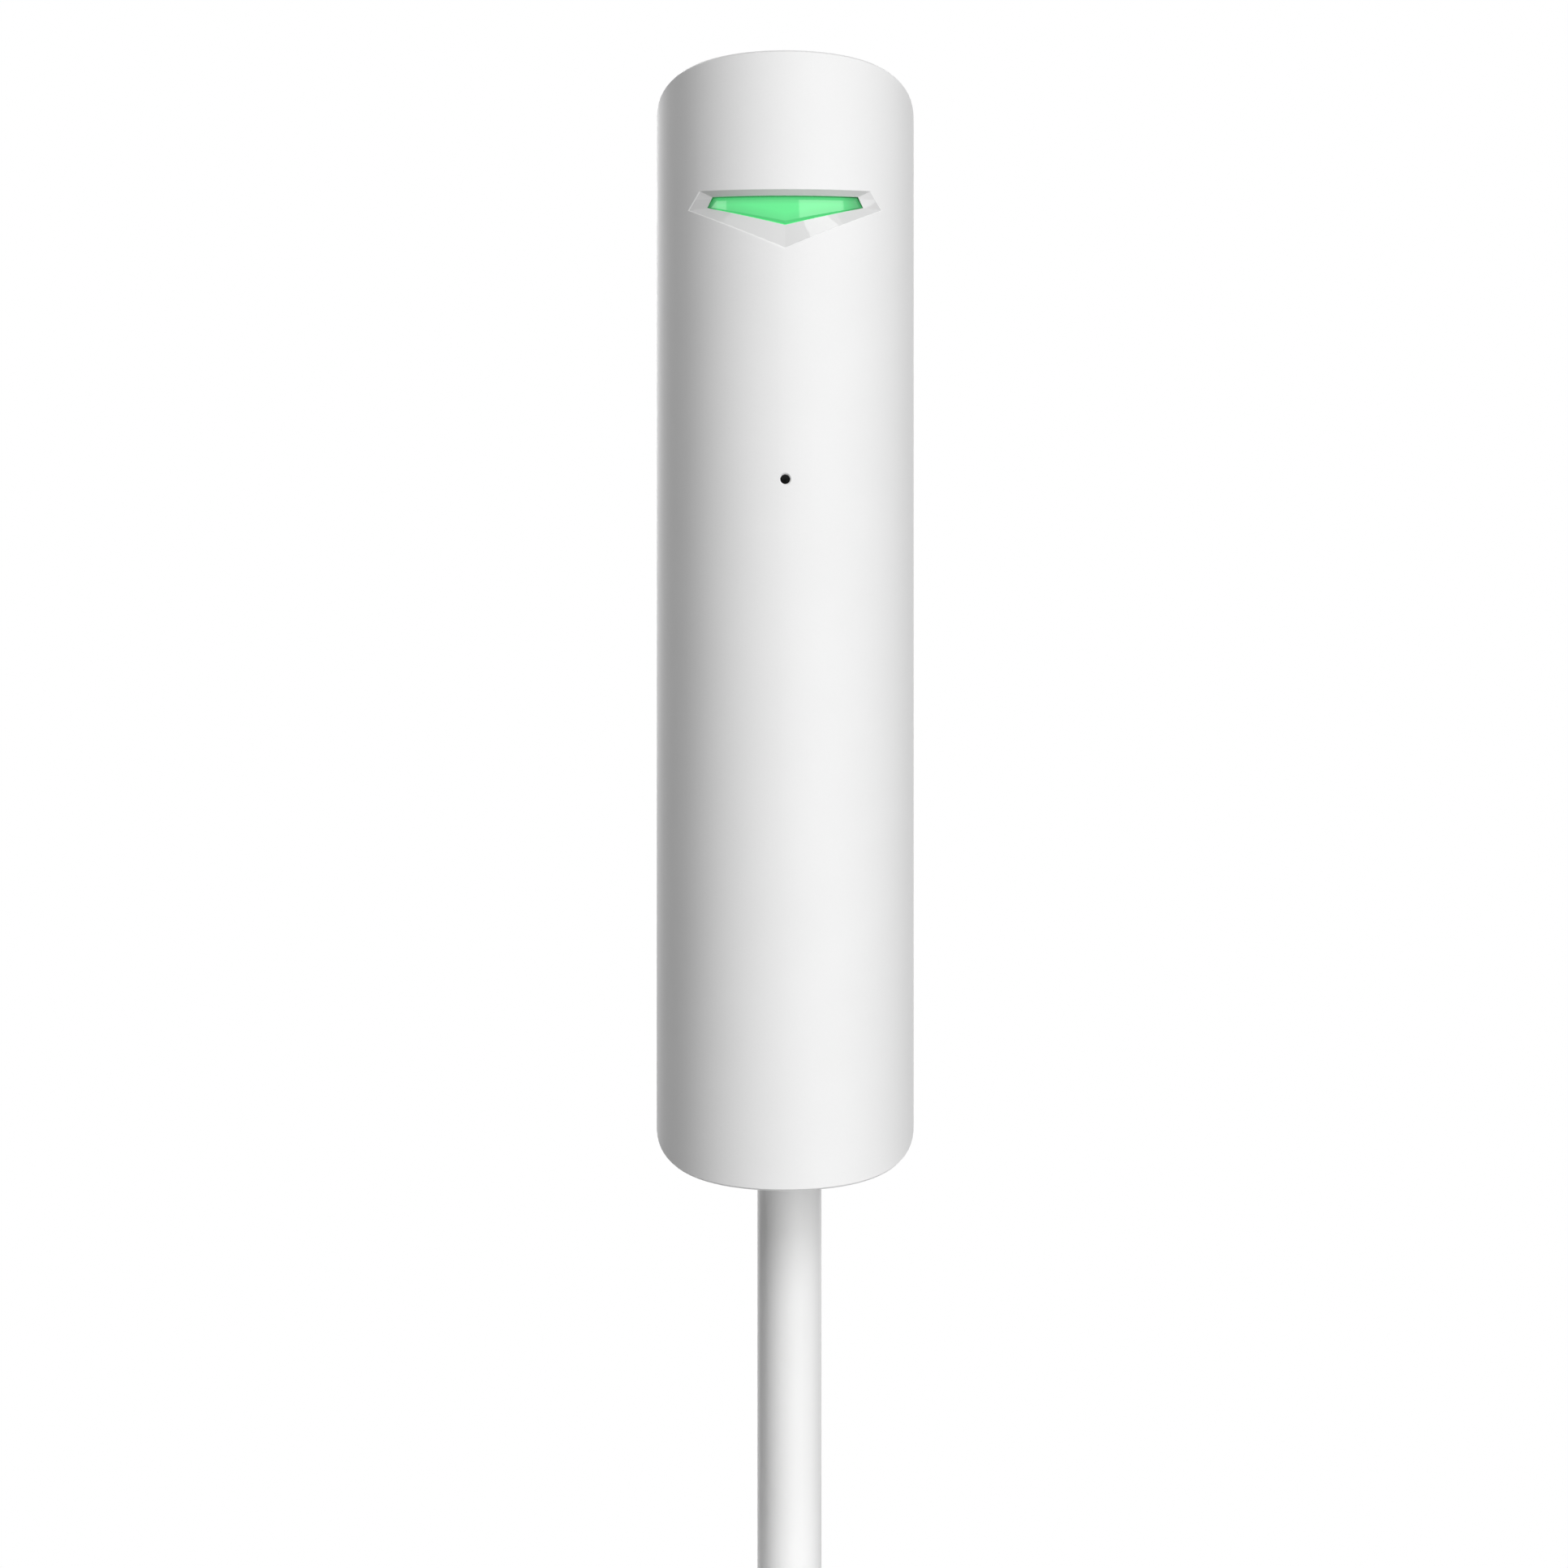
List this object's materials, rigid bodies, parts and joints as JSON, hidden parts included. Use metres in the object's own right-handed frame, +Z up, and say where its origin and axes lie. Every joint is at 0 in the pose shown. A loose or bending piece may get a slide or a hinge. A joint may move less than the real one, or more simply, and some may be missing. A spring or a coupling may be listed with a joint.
{
  "type": "glass break sensor",
  "caption": "Slim half-round wall sensor with curved ends, a faceted green light window, a small sound port and its own white lead leaving downwards.",
  "frame": {"origin": "on the wall face, on the body's centre line, at the middle of its height", "axes": "+Z up along the body, +Y into the wall, so the front faces -Y"},
  "size_m": [0.0411, 0.0264, 0.2712],
  "materials": {
    "cover_plastic": "fine moulded grain, off-white",
    "plate_plastic": "moulded, off-white",
    "guide_green": "clear green moulding, satin face",
    "board_laminate": "solder mask over glass laminate",
    "chip_black": "moulded epoxy",
    "relay_white": "moulded epoxy",
    "led_body": "clear dome on a white case",
    "can_metal": "drawn can",
    "crystal_metal": "plated lid",
    "ferrite": "fired ferrite",
    "chip_ceramic": "fired ceramic",
    "chip_film": "glazed film",
    "screw_steel": "zinc plated",
    "boot_rubber": "soft black rubber",
    "sleeve_rubber": "white rubber",
    "mesh_cloth": "woven acoustic cloth",
    "switch_black": "moulded case",
    "button_white": "moulded plunger",
    "header_black": "moulded strip with plated pins",
    "link_red": "moulded link",
    "cable_sheath": "extruded white sheath",
    "core_colours": "extruded core covers, one colour each",
    "tip_copper": "bare stranded copper",
    "tie_white": "soft strap"
  },
  "bodies": {
    "housing": {"front_cover": "cover_plastic", "back_plate": "plate_plastic", "light_guide": "guide_green", "dust_mesh": "mesh_cloth", "microphone_boot": "boot_rubber", "microphone_capsule": "can_metal", "circuit_board": "board_laminate", "board_screws": "screw_steel", "processor_chip": "chip_black", "amplifier_chip": "chip_black", "signal_relays": "relay_white", "status_led": "led_body", "storage_capacitor": "can_metal", "filter_choke": "ferrite", "clock_crystal": "crystal_metal", "chip_resistors": "chip_film", "chip_capacitors": "chip_ceramic", "option_header": "header_black", "option_link": "link_red", "tamper_switch": "switch_black", "cable_sleeve": "sleeve_rubber", "cable_clamp": "plate_plastic", "clamp_screws": "screw_steel", "lead_cable": "cable_sheath", "inner_cores": "core_colours", "lead_hank": "cable_sheath", "hank_ties": "tie_white", "lead_tail": "cable_sheath", "tail_cores": "core_colours", "core_tips": "tip_copper"},
    "button": {"tamper_button": "button_white"}
  },
  "joints": [
    {"name": "tamper_press", "type": "slide", "parent": "housing", "child": "button", "axis": [0, -1, 0], "range_m": [0, 0.0008], "stiffness_N_per_m": 200, "springref_m": -0.001}
  ]
}
